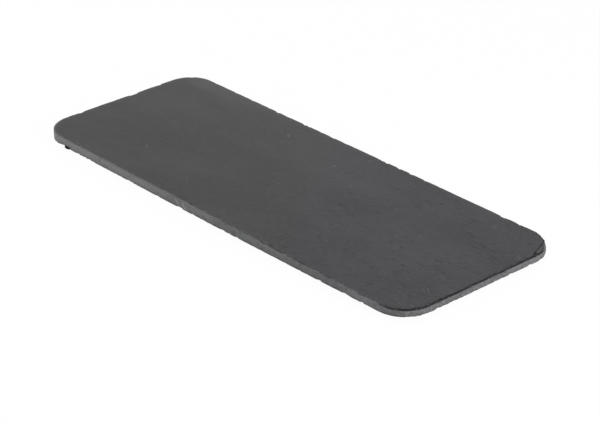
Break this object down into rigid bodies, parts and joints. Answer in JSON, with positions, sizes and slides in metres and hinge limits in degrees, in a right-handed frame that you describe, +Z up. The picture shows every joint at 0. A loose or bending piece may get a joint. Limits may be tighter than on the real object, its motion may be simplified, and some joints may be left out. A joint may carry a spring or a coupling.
{
  "type": "slate slab",
  "caption": "Thin rectangular slab of riven natural slate with rounded corners and a cut rim, standing on small round rubber feet.",
  "frame": {"origin": "on the surface the feet stand on, under the middle of the slab's bounding box", "axes": "+X along the length towards the thinner, dressed end; +Y across the width to the back edge; +Z up out of the riven top face"},
  "size_m": [0.33, 0.1274, 0.0088],
  "materials": {
    "slate": "matte",
    "black_rubber": "matte"
  },
  "bodies": {
    "root": {"slab": "slate", "foot_front_left": "black_rubber", "foot_front_right": "black_rubber", "foot_back_left": "black_rubber", "foot_back_right": "black_rubber"}
  },
  "joints": []
}
